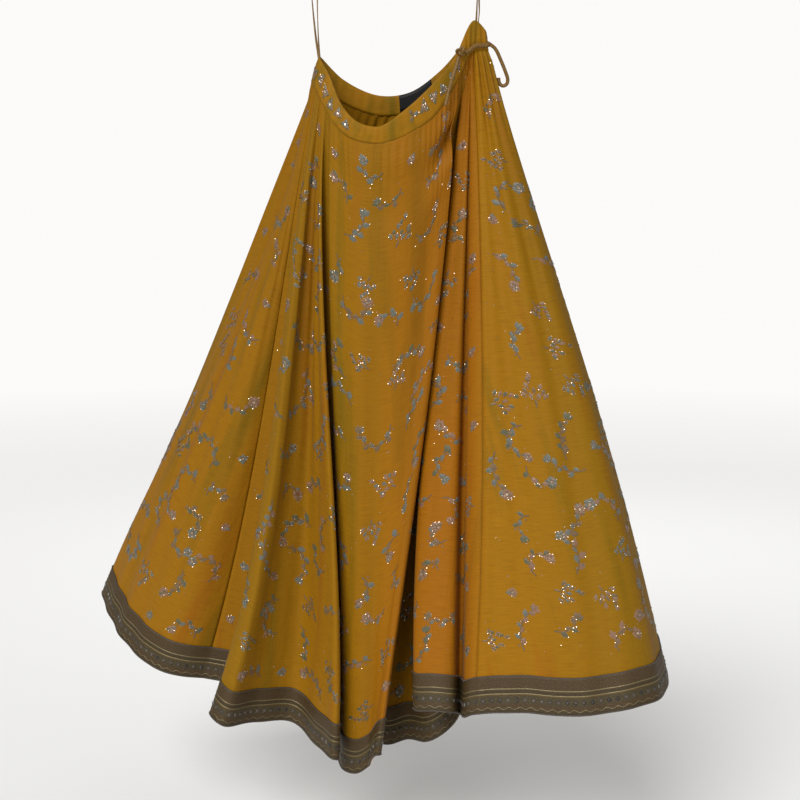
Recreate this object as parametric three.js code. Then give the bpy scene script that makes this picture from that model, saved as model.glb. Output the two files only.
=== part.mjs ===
// A lehenga skirt of embroidered silk, hanging by its two hanger loops.
// Millimetres, +Z up, the front faces -Y. The origin is midway between the tops of the two hanger loops.
import * as THREE from "three";

const CLOTH = 1.5; // wall of a gore
const BAND = 2.4; // wall of the waistband, two layers of silk round a drawstring channel
const TRIM = 1.2; // wall of the hem border
const LABEL = 0.8;
const GAP = 0.3; // under a piece that lies on another
const SEAM_GAP = 0.4; // between two pieces sewn edge to edge
const BORDER_HEIGHT = 56;
const SKIRT_DROP = 980; // waist seam to hem along a line of the cloth at the back
const FRONT_STEPS = 2; // columns of the mesh for each line of cloth
const BACK_STEPS = 3;

// Height of the rows of the mesh, as a share of the way from the waist seam to the hem.
const BORDER_SHARE = 1 - BORDER_HEIGHT / SKIRT_DROP;
const ROWS = [0, 0.04, 0.1, 0.19, 0.31, 0.45, 0.6, 0.74, 0.86, BORDER_SHARE, 1];

// The waistband, station by station round the waist: its top edge, and the seam where the skirt is sewn on.
// Stations 0 to 9 run along the front from the left end to the right one, 9 to 16 back along the back.
const WAIST = [
  { x: -116, y: 20, top: -113, seamX: -127, seam: -149 },
  { x: -101, y: -6, top: -142, seamX: -116, seam: -174 },
  { x: -80, y: -28, top: -190, seamX: -93, seam: -215 },
  { x: -57, y: -42, top: -214, seamX: -65, seam: -239 },
  { x: -26, y: -48, top: -221, seamX: -29, seam: -249 },
  { x: 9, y: -46, top: -199, seamX: 17, seam: -226 },
  { x: 46, y: -38, top: -166, seamX: 58, seam: -204 },
  { x: 84, y: -24, top: -123, seamX: 91, seam: -151 },
  { x: 116, y: -10, top: -63, seamX: 114, seam: -108 },
  { x: 134, y: 0, top: -78, seamX: 138, seam: -106 },
  { x: 120, y: 10, top: -65, seamX: 115, seam: -108 },
  { x: 93, y: 26, top: -104, seamX: 101, seam: -136 },
  { x: 63, y: 40, top: -136, seamX: 69, seam: -167 },
  { x: 19, y: 48, top: -165, seamX: 23, seam: -194 },
  { x: -29, y: 48, top: -169, seamX: -31, seam: -199 },
  { x: -81, y: 40, top: -146, seamX: -86, seam: -178 },
];

// The cloth's lines, each running from its station at the waist seam to its place on the hem.
// `high` and `low` are how far the line bows to the right a third and two thirds of the way down, and
// `deep` how far it bows to the back halfway down.
const FRONT_LINES = [
  { name: "left edge", station: 0.05, x: -510, y: 270, z: -1004, high: 32, low: 14, deep: 0 },
  { name: "left flap", station: 0.2, x: -475, y: 185, z: -1043, high: 28, low: 14, deep: 0 },
  { name: "left flap", station: 0.34, x: -428, y: 125, z: -1076, high: 22, low: 14, deep: 0 },
  { name: "left flap", station: 0.48, x: -383, y: 95, z: -1094, high: 15, low: 14, deep: 0 },
  { name: "left flap hollow", station: 0.62, x: -318, y: 100, z: -1107, high: 9, low: 16, deep: 0 },
  { name: "left fold turn", station: 0.72, x: -262, y: 92, z: -1116, high: 6, low: 18, deep: 0 },
  { name: "left fold under", station: 0.82, x: -266, y: 28, z: -1128, high: 7, low: 20, deep: 0 },
  { name: "left fold crest", station: 0.92, x: -291, y: -22, z: -1127, high: 8, low: 22, deep: 0 },
  { name: "left fold shoulder", station: 1.0, x: -270, y: -42, z: -1139, high: 8, low: 20, deep: 0 },
  { name: "left front", station: 1.08, x: -224, y: 10, z: -1150, high: 5, low: 12, deep: 0 },
  { name: "left front", station: 1.18, x: -170, y: 35, z: -1158, high: 1, low: 6, deep: 0 },
  { name: "left front", station: 1.28, x: -134, y: 2, z: -1176, high: -4, low: 5, deep: 0 },
  { name: "groove lip", station: 1.38, x: -97, y: -60, z: -1187, high: -8, low: 4, deep: 0 },
  { name: "groove lip side", station: 1.44, x: -90, y: -52, z: -1190, high: -8, low: 4, deep: 0 },
  { name: "groove under", station: 1.5, x: -106, y: -12, z: -1186, high: -8, low: 4, deep: 0 },
  { name: "groove turn", station: 1.58, x: -134, y: 68, z: -1188, high: -6, low: 2, deep: 0 },
  { name: "groove return", station: 1.67, x: -98, y: 52, z: -1204, high: -4, low: 2, deep: 0 },
  { name: "centre left", station: 1.8, x: -85, y: -8, z: -1222, high: -4, low: 2, deep: 0 },
  { name: "centre", station: 2.9, x: -62, y: -22, z: -1223, high: 0, low: 0, deep: 0 },
  { name: "centre crest", station: 4.3, x: -45, y: -34, z: -1208, high: 4, low: 4, deep: 0 },
  { name: "centre right", station: 5.8, x: -36, y: -46, z: -1192, high: 10, low: 8, deep: 0 },
  { name: "centre lip", station: 6.9, x: -29, y: -60, z: -1180, high: 12, low: 8, deep: 0 },
  { name: "centre lip side", station: 6.98, x: -24, y: -52, z: -1182, high: 12, low: 8, deep: 0 },
  { name: "centre under", station: 7.06, x: -54, y: -12, z: -1184, high: 0, low: -14, deep: 6 },
  { name: "recess turn", station: 7.15, x: -66, y: 60, z: -1196, high: -2, low: -14, deep: 40 },
  { name: "recess", station: 7.25, x: -14, y: 62, z: -1206, high: 0, low: -10, deep: 52 },
  { name: "recess", station: 7.35, x: 18, y: 44, z: -1191, high: -4, low: -12, deep: 54 },
  { name: "recess", station: 7.45, x: 51, y: 8, z: -1182, high: -8, low: -14, deep: 54 },
  { name: "recess", station: 7.55, x: 80, y: -4, z: -1160, high: -10, low: -16, deep: 52 },
  { name: "recess end", station: 7.62, x: 100, y: -26, z: -1118, high: -12, low: -18, deep: 50 },
  { name: "right fold under", station: 7.68, x: 64, y: -44, z: -1100, high: -10, low: -15, deep: 44 },
  { name: "right fold lip side", station: 7.73, x: 28, y: -78, z: -1098, high: -14, low: -19, deep: 34 },
  { name: "right fold lip", station: 7.77, x: 31, y: -91, z: -1099, high: -13, low: -18, deep: 30 },
  { name: "right fold", station: 7.82, x: 57, y: -106, z: -1095, high: -10, low: -14, deep: 24 },
  { name: "right fold", station: 7.87, x: 84, y: -104, z: -1098, high: -4, low: -6, deep: 18 },
  { name: "slit", station: 7.92, x: 97, y: -72, z: -1110, high: 0, low: 0, deep: 14 },
  { name: "slit lip", station: 7.98, x: 104, y: -112, z: -1103, high: 2, low: 2, deep: 8 },
  { name: "right front seam", station: 8.06, x: 116, y: -128, z: -1093, high: 10, low: 12, deep: 0 },
  { name: "right front", station: 8.2, x: 186, y: -140, z: -1086, high: 10, low: 13, deep: 0 },
  { name: "right front", station: 8.36, x: 253, y: -156, z: -1086, high: 10, low: 14, deep: 0 },
  { name: "right front", station: 8.52, x: 307, y: -162, z: -1080, high: 9, low: 15, deep: 0 },
  { name: "right front", station: 8.68, x: 357, y: -156, z: -1071, high: 9, low: 16, deep: 0 },
  { name: "right edge", station: 8.85, x: 400, y: -118, z: -1066, high: 9, low: 17, deep: 0 },
];

// Crests and hollows of the back's flutes, from the right side round to the left one.
const BACK_LINES = [
  { name: "right side crest", station: 9.3, x: 412, y: 10 },
  { name: "right side hollow", station: 9.7, x: 366, y: 92 },
  { name: "right back crest", station: 10.1, x: 352, y: 205 },
  { name: "right back hollow", station: 10.5, x: 268, y: 196 },
  { name: "right back crest", station: 10.9, x: 216, y: 300 },
  { name: "right back hollow", station: 11.4, x: 142, y: 252 },
  { name: "back crest", station: 11.9, x: 82, y: 346 },
  { name: "back hollow", station: 12.5, x: 0, y: 288 },
  { name: "back crest", station: 13.0, x: -72, y: 382 },
  { name: "back hollow", station: 13.5, x: -152, y: 312 },
  { name: "left back crest", station: 14.0, x: -232, y: 408 },
  { name: "left back hollow", station: 14.6, x: -305, y: 330 },
  { name: "left back crest", station: 15.1, x: -386, y: 398 },
  { name: "left side hollow", station: 15.5, x: -436, y: 322 },
  { name: "left side crest", station: 15.8, x: -496, y: 336 },
];

// The gores, each from its seam's station round to the next one's.
const GORES = [
  { name: "gore_left_front", station: 0.62 },
  { name: "gore_centre_front", station: 1.58 },
  { name: "gore_right_front", station: 7.15 },
  { name: "gore_right_side", station: 8.06 },
  { name: "gore_right_back", station: 10.1 },
  { name: "gore_centre_back", station: 11.9 },
  { name: "gore_left_back", station: 14.0 },
  { name: "gore_left_side", station: 15.8 },
];

const SILK = new THREE.MeshStandardMaterial({ color: 0xa87408, roughness: 0.62, metalness: 0 });
const ZARI = new THREE.MeshStandardMaterial({ color: 0x6b5334, roughness: 0.55, metalness: 0.2 });
const LABEL_CLOTH = new THREE.MeshStandardMaterial({ color: 0x101210, roughness: 0.5, metalness: 0 });
const TIE_CLOTH = new THREE.MeshStandardMaterial({ color: 0xa5793c, roughness: 0.6, metalness: 0 });

const skirt = new THREE.Group();

function addPiece(name, geometry, material) {
  const mesh = new THREE.Mesh(geometry, material);
  mesh.name = name;
  skirt.add(mesh);
}

function closedCurve(points) {
  return new THREE.CatmullRomCurve3(points, true, "centripetal");
}

const bandTopCurve = closedCurve(WAIST.map((w) => new THREE.Vector3(w.x, w.y, w.top)));
const seamCurve = closedCurve(WAIST.map((w) => new THREE.Vector3(w.seamX, w.y, w.seam)));

function onCurve(curve, station) {
  return curve.getPoint((((station / WAIST.length) % 1) + 1) % 1);
}

// A back line's hem lies where the length of its cloth brings it down to.
function hemOfBackLine(line) {
  const waist = onCurve(seamCurve, line.station);
  const out = Math.hypot(line.x - waist.x, line.y - waist.y);
  return { high: 0, low: 0, deep: 0, z: waist.z - Math.sqrt(SKIRT_DROP ** 2 - out ** 2), ...line };
}

const LINES = [...FRONT_LINES, ...BACK_LINES.map(hemOfBackLine)];

// A cubic through a line's waist, its hem and the two bowed places between.
function placeOnLine(line, v) {
  const waist = onCurve(seamCurve, line.station);
  const bow = 13.5 * v * (1 - v) * (line.high * (2 / 3 - v) + line.low * (v - 1 / 3));
  const back = 4 * v * (1 - v) * line.deep;
  return waist.lerp(new THREE.Vector3(line.x, line.y, line.z), v).add(new THREE.Vector3(bow, back, 0));
}

const rings = new Map();

function ringAt(v) {
  if (!rings.has(v)) rings.set(v, closedCurve(LINES.map((line) => placeOnLine(line, v))));
  return rings.get(v);
}

// The middle of the cloth, `line` counted along LINES and v down from the waist seam.
function clothPlace(line, v) {
  return ringAt(v).getPoint((((line / LINES.length) % 1) + 1) % 1);
}

const STEP_ROUND = 0.05; // of a line, to either side, for the way the cloth faces
const STEP_DOWN = 0.004; // of its length, above and below

function clothOutward(line, v) {
  const round = clothPlace(line + STEP_ROUND, v).sub(clothPlace(line - STEP_ROUND, v));
  const above = clothPlace(line, Math.max(v - STEP_DOWN, 0));
  const below = clothPlace(line, Math.min(v + STEP_DOWN, 1));
  return below.sub(above).cross(round).normalize();
}

function stationAfter(index) {
  return index + 1 < LINES.length ? LINES[index + 1].station : LINES[0].station + WAIST.length;
}

function stationOf(line) {
  const wrapped = ((line % LINES.length) + LINES.length) % LINES.length;
  const index = Math.floor(wrapped);
  const here = LINES[index].station;
  return here + (stationAfter(index) - here) * (wrapped - index);
}

function lineAtStation(station) {
  let index = LINES.length - 1;
  while (index > 0 && LINES[index].station > station) index -= 1;
  const here = LINES[index].station;
  return index + (station - here) / (stationAfter(index) - here);
}

// The band's middle, h counted up from the seam, 0, to its top edge, 1.
function bandPlace(line, h) {
  return clothPlace(line, 0).lerp(onCurve(bandTopCurve, stationOf(line)), h);
}

function bandOutward(line, h) {
  if (h === 0) return clothOutward(line, 0);
  const round = bandPlace(line + STEP_ROUND, h).sub(bandPlace(line - STEP_ROUND, h));
  return bandPlace(line, 0).sub(bandPlace(line, 1)).cross(round).normalize();
}

// Columns of the mesh between two lines.
function columnsBetween(from, to) {
  const columns = [from];
  for (let line = Math.floor(from); line < to; line++) {
    const steps = line % LINES.length < FRONT_LINES.length - 1 ? FRONT_STEPS : BACK_STEPS;
    for (let i = 0; i < steps; i++) {
      const column = line + i / steps;
      if (column > from && column < to) columns.push(column);
    }
  }
  columns.push(to);
  return columns;
}

// A wall of cloth over columns and rows. `place` gives its middle and `outward` its side; it reaches
// from `inner` to `outer` off the middle. The two end columns stand half a gap inside the seam.
function wall(columns, rows, place, outward, inner, outer) {
  const across = rows.length;
  const vertices = [];
  columns.forEach((column, c) => {
    const neighbour = c === 0 ? columns[1] : columns[c - 1];
    const isEnd = c === 0 || c === columns.length - 1;
    for (const row of rows) {
      const middle = place(column, row);
      if (isEnd) middle.add(place(neighbour, row).sub(middle).setLength(SEAM_GAP / 2));
      const side = outward(column, row);
      vertices.push(...middle.clone().addScaledVector(side, outer).toArray());
      vertices.push(...middle.clone().addScaledVector(side, inner).toArray());
    }
  });
  const vertex = (c, r, inside) => 2 * (c * across + r) + inside;
  const faces = [];
  const quad = (a, b, d, e) => faces.push(a, b, d, a, d, e);
  for (let c = 0; c < columns.length - 1; c++) {
    for (let r = 0; r < across - 1; r++) {
      quad(vertex(c, r, 0), vertex(c, r + 1, 0), vertex(c + 1, r + 1, 0), vertex(c + 1, r, 0));
      quad(vertex(c, r, 1), vertex(c + 1, r, 1), vertex(c + 1, r + 1, 1), vertex(c, r + 1, 1));
    }
    const bottom = across - 1;
    quad(vertex(c, 0, 1), vertex(c, 0, 0), vertex(c + 1, 0, 0), vertex(c + 1, 0, 1));
    quad(vertex(c, bottom, 0), vertex(c, bottom, 1), vertex(c + 1, bottom, 1), vertex(c + 1, bottom, 0));
  }
  for (let r = 0; r < across - 1; r++) {
    const last = columns.length - 1;
    quad(vertex(0, r, 1), vertex(0, r + 1, 1), vertex(0, r + 1, 0), vertex(0, r, 0));
    quad(vertex(last, r, 0), vertex(last, r + 1, 0), vertex(last, r + 1, 1), vertex(last, r, 1));
  }
  const geometry = new THREE.BufferGeometry();
  geometry.setAttribute("position", new THREE.Float32BufferAttribute(vertices, 3));
  geometry.setIndex(faces);
  return geometry;
}

const goreStarts = GORES.map((gore) => LINES.findIndex((line) => line.station === gore.station));
GORES.forEach((gore, i) => {
  const end = i + 1 < GORES.length ? goreStarts[i + 1] : goreStarts[0] + LINES.length;
  const columns = columnsBetween(goreStarts[i], end);
  addPiece(gore.name, wall(columns, ROWS, clothPlace, clothOutward, -CLOTH / 2, CLOTH / 2), SILK);
});

// The hem border is one strip laid on the gores all round, joined at the last seam.
const borderBack = CLOTH / 2 + GAP;
const borderColumns = columnsBetween(goreStarts.at(-1), goreStarts.at(-1) + LINES.length);
const borderRows = [BORDER_SHARE, 1];
addPiece(
  "hem_border",
  wall(borderColumns, borderRows, clothPlace, clothOutward, borderBack, borderBack + TRIM),
  ZARI,
);

// The waistband's two halves, each sewn to the gores along its lower edge.
const RIGHT_END = 9; // station where the front half ends
const BAND_ROWS = [1, 0.5, 0];
const BAND_RISE = 0.012; // of its height, that its lower edge stands above the gores' top edge

function bandHalf(from, to) {
  const place = (line, h) => bandPlace(line, Math.max(h, BAND_RISE));
  return wall(columnsBetween(from, to), BAND_ROWS, place, bandOutward, -BAND / 2, BAND / 2);
}

addPiece("waistband_front", bandHalf(0, lineAtStation(RIGHT_END)), SILK);
addPiece("waistband_back", bandHalf(lineAtStation(RIGHT_END), LINES.length), SILK);

// The maker's label, bare, sewn inside the back of the band.
const LABEL_ENDS = [12.25, 13.35]; // stations
const LABEL_ROWS = [0.97, 0.5, 0.06]; // up the band
const labelFace = -BAND / 2 - GAP;
const labelColumns = columnsBetween(...LABEL_ENDS.map(lineAtStation));
addPiece(
  "label",
  wall(labelColumns, LABEL_ROWS, bandPlace, bandOutward, labelFace - LABEL, labelFace),
  LABEL_CLOTH,
);

// A round section with eight sides, drawn along a route.
const SIDES = 8;
function rope(points, radius, steps) {
  const section = new THREE.Shape();
  for (let i = 0; i < SIDES; i++) {
    const turn = (2 * Math.PI * i) / SIDES;
    const corner = [radius * Math.cos(turn), radius * Math.sin(turn)];
    if (i === 0) section.moveTo(...corner);
    else section.lineTo(...corner);
  }
  section.closePath();
  const route = new THREE.CatmullRomCurve3(points, false, "centripetal");
  return new THREE.ExtrudeGeometry(section, { steps, extrudePath: route, curveSegments: 1 });
}

const vectors = (rows) => rows.map((row) => new THREE.Vector3(...row));

// The hanger loops: a satin ribbon doubled over, both ends sewn into a top corner of the band.
const RIBBON_RADIUS = 1.2;
const LEFT_LOOP = [
  [-116.5, 14, -108],
  [-117.5, 13, -86],
  [-118.5, 12, -50],
  [-119, 12, -14],
  [-120, 12, -5],
  [-123.5, 12, -1.3],
  [-127, 12, -5],
  [-127.5, 12, -14],
  [-125, 14, -50],
  [-121.5, 17, -86],
  [-119, 18, -106.5],
];
const RIGHT_LOOP = [
  [119.5, 0, -61],
  [120, -1, -50],
  [120.5, -3, -30],
  [120.5, -4.5, -14],
  [121, -4.5, -5],
  [121.5, 0, -1.3],
  [122, 4.5, -5],
  [122.5, 4.5, -14],
  [123.5, 4, -30],
  [124, 3.5, -50],
  [124, 3.5, -61.5],
];
addPiece("hanger_loop_left", rope(vectors(LEFT_LOOP), RIBBON_RADIUS, 30), TIE_CLOTH);
addPiece("hanger_loop_right", rope(vectors(RIGHT_LOOP), RIBBON_RADIUS, 26), TIE_CLOTH);

// The drawstring comes out of its channel at the back and turns round the gathered right end of the band
// to the knot at the front, station by station, off the band's face.
const TIE_RADIUS = 2.8;
const TIE_SLACK = 0.7; // between the tie and the band
const offBand = BAND / 2 + TIE_SLACK + TIE_RADIUS;
const WRAP = [
  { station: 7.45, h: 0.42 },
  { station: 7.8, h: 0.17 },
  { station: 8.1, h: 0.13 },
  { station: 8.5, h: 0.15 },
  { station: 8.8, h: 0.22 },
  { station: 9, h: 0.29 },
  { station: 9.2, h: 0.32 },
  { station: 9.6, h: 0.3 },
  { station: 10, h: 0.32 },
  { station: 10.4, h: 0.4 },
];
const wrapPoints = WRAP.map(({ station, h }) => {
  const line = lineAtStation(station);
  return bandPlace(line, h).addScaledVector(bandOutward(line, h), offBand);
});
addPiece("drawstring_wrap", rope(wrapPoints, TIE_RADIUS, 32), TIE_CLOTH);

const KNOT_HALF_SIZE = [7.5, 5.5, 6];
const KNOT_CENTRE = [95, -31, -111];
const KNOT_TURN = -0.5; // radians, down to the right
const knot = new THREE.SphereGeometry(1, 10, 8);
knot.scale(...KNOT_HALF_SIZE);
knot.rotateY(KNOT_TURN);
knot.translate(...KNOT_CENTRE);
addPiece("drawstring_knot", knot, TIE_CLOTH);

// The tie's two ends: one hooks down beside the skirt, the other hangs down its front.
const HOOK = [
  [147, -6, -104],
  [150.5, -6, -110],
  [154.5, -6, -118],
  [160, -5, -130],
  [165.5, -4, -143],
  [168.5, -3, -153],
  [167, -2, -160],
  [161.5, -1, -162],
  [157, -1, -158],
  [153.5, -1, -149],
];
const TAIL = [
  [92, -35.5, -120],
  [90, -37.5, -128],
  [87, -39.5, -138],
  [83, -41.5, -150],
  [79, -43, -163],
  [75.5, -44.5, -177],
  [72.5, -45.5, -191],
];
addPiece("drawstring_hook_end", rope(vectors(HOOK), TIE_RADIUS, 24), TIE_CLOTH);
addPiece("drawstring_tail_end", rope(vectors(TAIL), TIE_RADIUS, 18), TIE_CLOTH);

export default skirt;
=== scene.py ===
"""An embroidered raw silk lehenga skirt, hanging by its two hanger loops. Metres, +Z up, front to -Y."""
import math

import bmesh
import bpy
import numpy as np
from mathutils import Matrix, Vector


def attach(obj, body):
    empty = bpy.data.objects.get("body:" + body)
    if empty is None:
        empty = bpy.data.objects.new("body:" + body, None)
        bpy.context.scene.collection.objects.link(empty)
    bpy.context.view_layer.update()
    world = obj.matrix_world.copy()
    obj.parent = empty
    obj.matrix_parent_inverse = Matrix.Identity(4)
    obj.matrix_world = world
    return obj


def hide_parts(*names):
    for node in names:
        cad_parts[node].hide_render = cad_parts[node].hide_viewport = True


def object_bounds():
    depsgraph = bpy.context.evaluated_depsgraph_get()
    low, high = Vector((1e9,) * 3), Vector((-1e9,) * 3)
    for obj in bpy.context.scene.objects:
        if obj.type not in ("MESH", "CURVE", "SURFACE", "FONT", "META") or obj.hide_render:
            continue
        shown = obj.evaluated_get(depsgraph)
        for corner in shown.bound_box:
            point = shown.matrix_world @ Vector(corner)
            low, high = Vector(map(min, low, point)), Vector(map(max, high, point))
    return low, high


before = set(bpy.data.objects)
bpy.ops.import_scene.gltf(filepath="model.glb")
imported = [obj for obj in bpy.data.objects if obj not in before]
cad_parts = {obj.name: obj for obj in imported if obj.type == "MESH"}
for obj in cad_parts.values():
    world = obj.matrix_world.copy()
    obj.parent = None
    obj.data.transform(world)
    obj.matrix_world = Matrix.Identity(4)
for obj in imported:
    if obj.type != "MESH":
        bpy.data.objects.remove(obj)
cad_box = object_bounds()
scene = bpy.context.scene

# The view. The skirt is seen from the front, at half its height and seven degrees from above,
# from far enough back that its sides keep their true width.
VIEW_AIM = (0.0054, 0.0, -0.6345)
VIEW_REACH = 2.4
VIEW_DOWN = math.radians(7)
camera_data = bpy.data.cameras.new("camera")
camera_data.lens = 70.13
camera = bpy.data.objects.new("camera", camera_data)
camera.location = (
    VIEW_AIM[0],
    VIEW_AIM[1] - VIEW_REACH * math.cos(VIEW_DOWN),
    VIEW_AIM[2] + VIEW_REACH * math.sin(VIEW_DOWN),
)
camera.rotation_euler = (math.pi / 2 - VIEW_DOWN, 0, 0)
scene.collection.objects.link(camera)
scene.camera = camera
scene.view_settings.view_transform = "Standard"

# The drawstring's two free ends: a narrow tube of plain silk, sewn along one side and turned, 5.6 mm
# across. One end hooks down beside the skirt, the other hangs down its front from the knot.
TIE_DIAMETER = 0.0056
HOOK_ROUTE = [
    (140, -8, -98.5),
    (148, -6.3, -105),
    (156, -5.6, -121),
    (163, -4.8, -137.5),
    (166.9, -3.8, -149.5),
    (165.9, -3, -155.8),
    (161.2, -2.2, -159),
    (156.2, -1.5, -157.2),
    (153.8, -1, -152),
    (153.4, -1, -147),
]
TAIL_ROUTE = [
    (92, -35.5, -120),
    (90, -37.5, -128),
    (87, -39.5, -138),
    (83, -41.5, -150),
    (79, -43, -163),
    (75.5, -44.5, -177),
    (72.5, -45.5, -191),
]


def along_curve(points, turns, closed=False):
    """Places along a smooth curve through the points, at each of the turns from 0 to 1."""
    points = np.asarray(points, float)
    count = len(points)
    place = np.asarray(turns, float) * (count if closed else count - 1)
    index = np.floor(place).astype(int)
    share = place - index
    if closed:
        index = index % count
        ringed = points
    else:
        share = np.where(index >= count - 1, 1.0, share)
        index = np.where(index >= count - 1, count - 2, index)
        first = 2 * points[0] - points[1]
        last = 2 * points[-1] - points[-2]
        ringed = np.vstack([points, last, first])
    before, here, after, beyond = (ringed[(index + k) % len(ringed)] for k in (-1, 0, 1, 2))

    def gap(a, b):
        return np.maximum(((a - b) ** 2).sum(1), 1e-9)[:, None] ** 0.25

    gap_before, gap_here, gap_after = gap(before, here), gap(here, after), gap(after, beyond)
    start = (here - before) / gap_before - (after - before) / (gap_before + gap_here)
    start = (start + (after - here) / gap_here) * gap_here
    end = (after - here) / gap_here - (beyond - here) / (gap_here + gap_after)
    end = (end + (beyond - after) / gap_after) * gap_here
    w = share[:, None]
    bent = (-3 * here + 3 * after - 2 * start - end) * w**2 + (2 * here - 2 * after + start + end) * w**3
    return here + start * w + bent


def new_material(name, colour, roughness, metallic=0.0, sheen=0.0):
    """A material and its nodes: a principled shader with its constants on its own sockets."""
    material = bpy.data.materials.new(name)
    material.use_nodes = True
    shader = material.node_tree.nodes["Principled BSDF"]
    shader.inputs["Base Color"].default_value = (*colour, 1)
    shader.inputs["Roughness"].default_value = roughness
    shader.inputs["Metallic"].default_value = metallic
    shader.inputs["Sheen Weight"].default_value = sheen
    return material, shader


def add_node(material, kind, inputs=(), **settings):
    """A node with its settings and its inputs, each input a number, a colour or another node's socket."""
    node = material.node_tree.nodes.new(kind)
    for setting, value in settings.items():
        setattr(node, setting, value)
    for name, value in dict(inputs).items():
        socket = node.inputs[name]
        if isinstance(value, bpy.types.NodeSocket):
            material.node_tree.links.new(value, socket)
        else:
            socket.default_value = value
    return node


def add_noise(material, coordinates, scale, detail=3.0):
    """Noise stretched by a scale of its own along each axis."""
    mapping = add_node(material, "ShaderNodeMapping", {"Vector": coordinates, "Scale": scale})
    return add_node(
        material, "ShaderNodeTexNoise", {"Vector": mapping.outputs["Vector"], "Scale": 1.0, "Detail": detail}
    )


def add_ramp(material, factor, stops):
    """A colour ramp through the stops, each a place and a colour."""
    ramp = add_node(material, "ShaderNodeValToRGB", {"Fac": factor})
    while len(ramp.color_ramp.elements) < len(stops):
        ramp.color_ramp.elements.new(0.5)
    for element, (place, colour) in zip(ramp.color_ramp.elements, stops):
        element.position = place
        element.color = (*colour, 1)
    return ramp


def link(material, output, socket):
    material.node_tree.links.new(output, socket)


def add_grain(material, shader, scale, detail, stops=(), strength=0.0, distance=0.0004):
    """Fine grain in a material: noise coloured through the stops, where given, and raised by a bump."""
    coordinates = add_node(material, "ShaderNodeTexCoord").outputs["Object"]
    grain = add_noise(material, coordinates, scale, detail).outputs["Fac"]
    if stops:
        link(material, add_ramp(material, grain, stops).outputs["Color"], shader.inputs["Base Color"])
    if strength:
        add_bump(material, shader, grain, strength, distance)


def add_bump(material, shader, height, strength, distance, **under):
    """A bump on a shader, over the bump `Normal` where one is given."""
    bump = add_node(
        material, "ShaderNodeBump", {"Height": height, "Strength": strength, "Distance": distance, **under}
    )
    link(material, bump.outputs["Normal"], shader.inputs["Normal"])
    return bump.outputs["Normal"]


def multiply(material, base, tones):
    """The base's colour, deepened or lightened by the tones."""
    colours = {"Fac": 1.0, "Color1": base.outputs["Color"], "Color2": tones.outputs["Color"]}
    return add_node(material, "ShaderNodeMixRGB", colours, blend_type="MULTIPLY").outputs["Color"]


TIE_DARK = (0.095, 0.045, 0.004)
TIE_LIGHT = (0.235, 0.118, 0.010)
tie_cloth, tie_shader = new_material("tie_cloth", TIE_LIGHT, 0.55, sheen=0.06)
add_grain(tie_cloth, tie_shader, (900, 900, 260), 3.0, [(0.3, TIE_DARK), (0.7, TIE_LIGHT)], 0.5)


def add_tie_end(node, route_mm, stations):
    """One free end: a round tie on its route, of one open spline."""
    route = along_curve(np.array(route_mm) / 1000, np.linspace(0, 1, stations))
    curve = bpy.data.curves.new(node + "_tie", "CURVE")
    curve.dimensions = "3D"
    curve.bevel_depth = TIE_DIAMETER / 2
    curve.bevel_resolution = 4
    curve.use_fill_caps = True
    spline = curve.splines.new("POLY")
    spline.points.add(stations - 1)
    for point, place in zip(spline.points, route):
        point.co = (*place, 1)
    curve.materials.append(tie_cloth)
    piece = bpy.data.objects.new(node + "_tie", curve)
    scene.collection.objects.link(piece)
    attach(piece, "root")
    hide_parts(node)


add_tie_end("drawstring_hook_end", HOOK_ROUTE, 31)
add_tie_end("drawstring_tail_end", TAIL_ROUTE, 24)

# The gores: eight flared panels of mustard raw silk, sewn edge to edge and gathered into the waistband.
# Each line of cloth runs from its station on the waist seam to its place on the hem, in millimetres:
# it bows to the right by `high` and `low`, and to the back by `deep`. The skirt's folds are these lines.
SKIRT_DROP = 980
BORDER_HEIGHT = 56
BORDER_SHARE = 1 - BORDER_HEIGHT / SKIRT_DROP
# x, y, top edge of the band, x of the seam, height of the seam
WAIST = [
    (-116, 20, -113, -127, -149),
    (-101, -6, -142, -116, -174),
    (-80, -28, -190, -93, -215),
    (-57, -42, -214, -65, -239),
    (-26, -48, -221, -29, -249),
    (9, -46, -199, 17, -226),
    (46, -38, -166, 58, -204),
    (84, -24, -123, 91, -151),
    (116, -10, -63, 114, -108),
    (134, 0, -78, 138, -106),
    (120, 10, -65, 115, -108),
    (93, 26, -104, 101, -136),
    (63, 40, -136, 69, -167),
    (19, 48, -165, 23, -194),
    (-29, 48, -169, -31, -199),
    (-81, 40, -146, -86, -178),
]
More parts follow.
